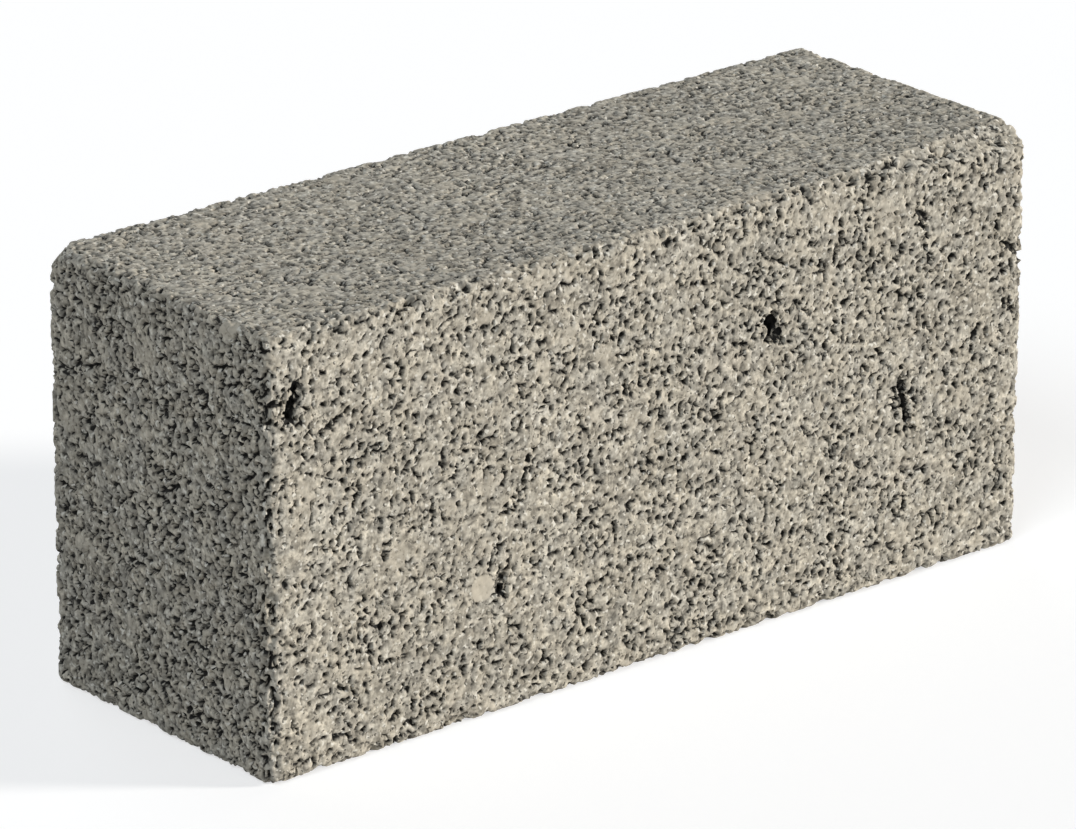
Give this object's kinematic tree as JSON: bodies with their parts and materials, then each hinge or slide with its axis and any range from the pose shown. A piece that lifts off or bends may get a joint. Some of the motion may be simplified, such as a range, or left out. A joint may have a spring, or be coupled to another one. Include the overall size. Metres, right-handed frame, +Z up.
{
  "type": "solid concrete block",
  "caption": "Solid rectangular block of open-textured concrete, for laying in mortar as a wall unit or standing things on.",
  "frame": {"origin": "middle of the bed face, the face the block lies on", "axes": "+X along the length, +Y across the width to the back face, +Z up from the bed face to the top face"},
  "size_m": [0.4, 0.14, 0.185],
  "materials": {
    "concrete": "rough, open-textured, unpainted"
  },
  "bodies": {
    "root": {"concrete_block": "concrete"}
  },
  "joints": []
}
